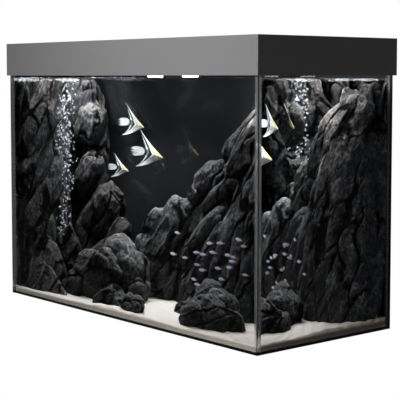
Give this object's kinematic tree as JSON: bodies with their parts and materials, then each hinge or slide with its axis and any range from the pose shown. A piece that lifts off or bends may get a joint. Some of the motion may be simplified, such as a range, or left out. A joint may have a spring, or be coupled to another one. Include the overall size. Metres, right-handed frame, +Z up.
{
  "type": "furnished aquarium",
  "caption": "Glass aquarium with black rockwork, sand, braces, hidden filter and heater, and a lift-off lighting hood with two hinged flaps and a feed hatch.",
  "frame": {"origin": "centre of the underside of the base mat, where the tank rests", "axes": "+X to the right along the front glass, -Y out of the front glass, +Z up"},
  "size_m": [1.216, 0.536, 0.828],
  "materials": {
    "pane_glass": "clear polished float glass",
    "bottom_glass": "clear float glass with a grey-green edge",
    "silicone": "clear silicone, satin",
    "foam_mat": "black closed-cell foam",
    "black_film": "black background film",
    "sand": "fine pale sand",
    "basalt_rock": "rough dark layered rock",
    "air_stone_grit": "porous sintered grit",
    "equipment_plastic": "black moulded plastic",
    "soft_rubber": "soft black rubber",
    "heater_glass": "clear heater glass",
    "hood_panel": "dark grey powder coat, satin",
    "hood_inner_plastic": "black moulded plastic",
    "lid_panel": "dark grey textured plastic",
    "steel_pin": "drawn stainless rod",
    "lamp_aluminium": "anodised extruded aluminium",
    "lamp_black": "black powder coat",
    "lamp_lens": "frosted lens, lit",
    "water": "clear aquarium water",
    "air_bubble": "air bubble in water",
    "angelfish_skin": "wet pearly scales with black bars",
    "tetra_skin": "wet silver scales with orange tails"
  },
  "bodies": {
    "tank": {"air_stone": "air_stone_grit", "air_stone_nipple": "equipment_plastic", "back_film": "black_film", "back_pane": "pane_glass", "base_mat": "foam_mat", "base_seams": "silicone", "bottom_pane": "bottom_glass", "boulder_left_large": "basalt_rock", "boulder_left_low": "basalt_rock", "boulder_right_front": "basalt_rock", "boulder_right_rear": "basalt_rock", "brace_back": "pane_glass", "brace_front": "pane_glass", "corner_seam_back_left": "silicone", "corner_seam_back_right": "silicone", "corner_seam_front_left": "silicone", "corner_seam_front_right": "silicone", "cross_brace_left": "pane_glass", "cross_brace_right": "pane_glass", "filter_body": "equipment_plastic", "filter_cups": "soft_rubber", "filter_head": "equipment_plastic", "front_pane": "pane_glass", "heater_cap": "equipment_plastic", "heater_clips": "soft_rubber", "heater_tube": "heater_glass", "left_pane": "pane_glass", "pebble_left": "basalt_rock", "right_pane": "pane_glass", "rock_chimney_left": "basalt_rock", "rock_column_left": "basalt_rock", "rock_stack_left": "basalt_rock", "rock_wall_right": "basalt_rock", "sand_bed": "sand"},
    "hood": {"cable_grommet_left": "soft_rubber", "cable_grommet_right": "soft_rubber", "hinge_pins_left": "steel_pin", "hinge_pins_right": "steel_pin", "hood_bridge": "hood_inner_plastic", "hood_corner_blocks": "hood_inner_plastic", "hood_deck": "lid_panel", "hood_front_panel": "hood_panel", "hood_left_panel": "hood_panel", "hood_rear_panel": "hood_panel", "hood_right_panel": "hood_panel", "lamp_rail": "lamp_aluminium", "led_bar_front": "lamp_aluminium", "led_bar_rear": "lamp_aluminium", "led_end_brackets": "hood_inner_plastic", "led_lens_front": "lamp_lens", "led_lens_rear": "lamp_lens", "spot_lamp_left": "lamp_black", "spot_lamp_right": "lamp_black", "spot_lenses": "lamp_lens"},
    "left_flap": {"flap_left": "lid_panel"},
    "right_flap": {"flap_right": "lid_panel", "hatch_pin": "steel_pin"},
    "hatch": {"feed_hatch": "lid_panel"},
    "nozzle": {"filter_nozzle": "equipment_plastic"},
    "dial": {"heater_dial": "equipment_plastic"}
  },
  "joints": [
    {"name": "hood_lift", "type": "slide", "parent": "tank", "child": "hood", "axis": [0, 0, 1], "range_m": [0, 0.15]},
    {"name": "left_flap_hinge", "type": "hinge", "parent": "hood", "child": "left_flap", "pos_m": [-0.3, 0.1, 0.824], "axis": [-1, 0, 0], "range_deg": [0, 90]},
    {"name": "right_flap_hinge", "type": "hinge", "parent": "hood", "child": "right_flap", "pos_m": [0.3, 0.1, 0.824], "axis": [-1, 0, 0], "range_deg": [0, 90]},
    {"name": "hatch_hinge", "type": "hinge", "parent": "right_flap", "child": "hatch", "pos_m": [0.45, -0.112, 0.824], "axis": [-1, 0, 0], "range_deg": [0, 90]},
    {"name": "nozzle_swivel", "type": "hinge", "parent": "tank", "child": "nozzle", "pos_m": [-0.545, 0.212, 0.6793], "axis": [0, 0, 1], "range_deg": [-30, 90]},
    {"name": "dial_turn", "type": "hinge", "parent": "tank", "child": "dial", "pos_m": [-0.4903, 0.226, 0.41], "axis": [0, 0, 1], "range_deg": [-150, 150]}
  ]
}
